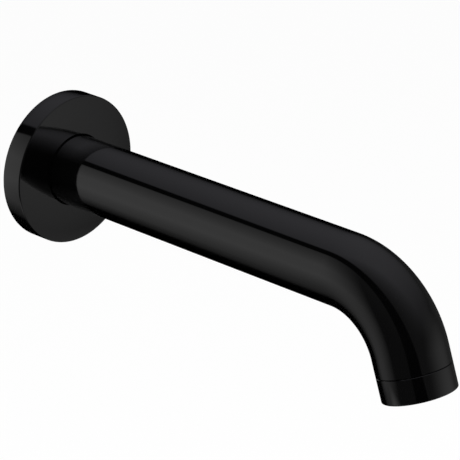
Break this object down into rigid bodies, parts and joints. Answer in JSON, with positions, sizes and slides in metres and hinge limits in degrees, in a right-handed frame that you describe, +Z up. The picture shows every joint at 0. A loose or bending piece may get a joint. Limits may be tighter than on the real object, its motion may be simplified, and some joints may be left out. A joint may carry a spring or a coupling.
{
  "type": "bath spout",
  "caption": "Black wall-mounted bath spout: a round tube bent down at its end, a round wall flange, a flush outlet ring and a push-on wall nipple with a G 1/2 thread.",
  "frame": {"origin": "centre of the wall flange on the wall plane", "axes": "+Z up, +Y into the wall along the tube's axis, spout towards -Y"},
  "size_m": [0.064, 0.228, 0.0764],
  "materials": {
    "black_coat": "gloss",
    "bare_brass": "satin",
    "seal_rubber": "matte",
    "screw_steel": "satin",
    "insert_plastic": "matte"
  },
  "bodies": {
    "root": {"spout_tube": "black_coat", "inlet_bush": "bare_brass", "wall_nipple": "bare_brass", "nipple_o_ring_rear": "seal_rubber", "nipple_o_ring_front": "seal_rubber", "grub_screw": "screw_steel", "wall_flange": "black_coat", "flange_o_ring": "seal_rubber", "outlet_bush": "bare_brass", "outlet_ring": "black_coat", "flow_insert": "insert_plastic", "filter_plate": "insert_plastic", "outlet_washer": "seal_rubber"}
  },
  "joints": []
}
